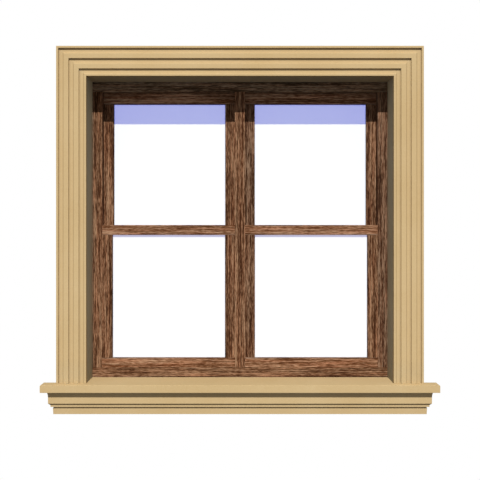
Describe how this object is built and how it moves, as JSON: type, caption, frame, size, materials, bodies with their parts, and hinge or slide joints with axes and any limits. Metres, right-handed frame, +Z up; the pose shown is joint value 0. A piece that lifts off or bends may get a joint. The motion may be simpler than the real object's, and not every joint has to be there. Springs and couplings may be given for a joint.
{
  "type": "window surround",
  "caption": "Moulded tan window surround: mitred casing, projecting sill on a stepped apron and plain reveal linings, round a dark timber window with glazing bars.",
  "frame": {"origin": "middle of the apron's flat back, on the plane of the wall's face, half way between the two ends", "axes": "+Y into the wall, so the front faces -Y; +Z up; +X to the right seen from in front"},
  "size_m": [1.544, 0.234, 1.4373],
  "materials": {
    "cast_stone": "fine cast face, tan, matt",
    "lining_stone": "plain cast face, greyer tan, matt",
    "timber": "dark brown open grain, low sheen",
    "glass": "clear sheet glass"
  },
  "bodies": {
    "root": {"casing_left": "cast_stone", "casing_right": "cast_stone", "casing_head": "cast_stone", "lining_left": "lining_stone", "lining_right": "lining_stone", "lining_head": "lining_stone", "sill": "cast_stone", "apron": "cast_stone", "frame_head": "timber", "frame_bottom_rail": "timber", "frame_jamb_left": "timber", "frame_jamb_right": "timber", "mullion": "timber", "left_lower_light_top_rail": "timber", "left_lower_light_bottom_rail": "timber", "left_lower_light_outer_stile": "timber", "left_lower_light_inner_stile": "timber", "left_upper_light_top_rail": "timber", "left_upper_light_bottom_rail": "timber", "left_upper_light_outer_stile": "timber", "left_upper_light_inner_stile": "timber", "right_lower_light_top_rail": "timber", "right_lower_light_bottom_rail": "timber", "right_lower_light_outer_stile": "timber", "right_lower_light_inner_stile": "timber", "right_upper_light_top_rail": "timber", "right_upper_light_bottom_rail": "timber", "right_upper_light_outer_stile": "timber", "right_upper_light_inner_stile": "timber", "left_lower_light_pane": "glass", "left_upper_light_pane": "glass", "right_lower_light_pane": "glass", "right_upper_light_pane": "glass"}
  },
  "joints": []
}
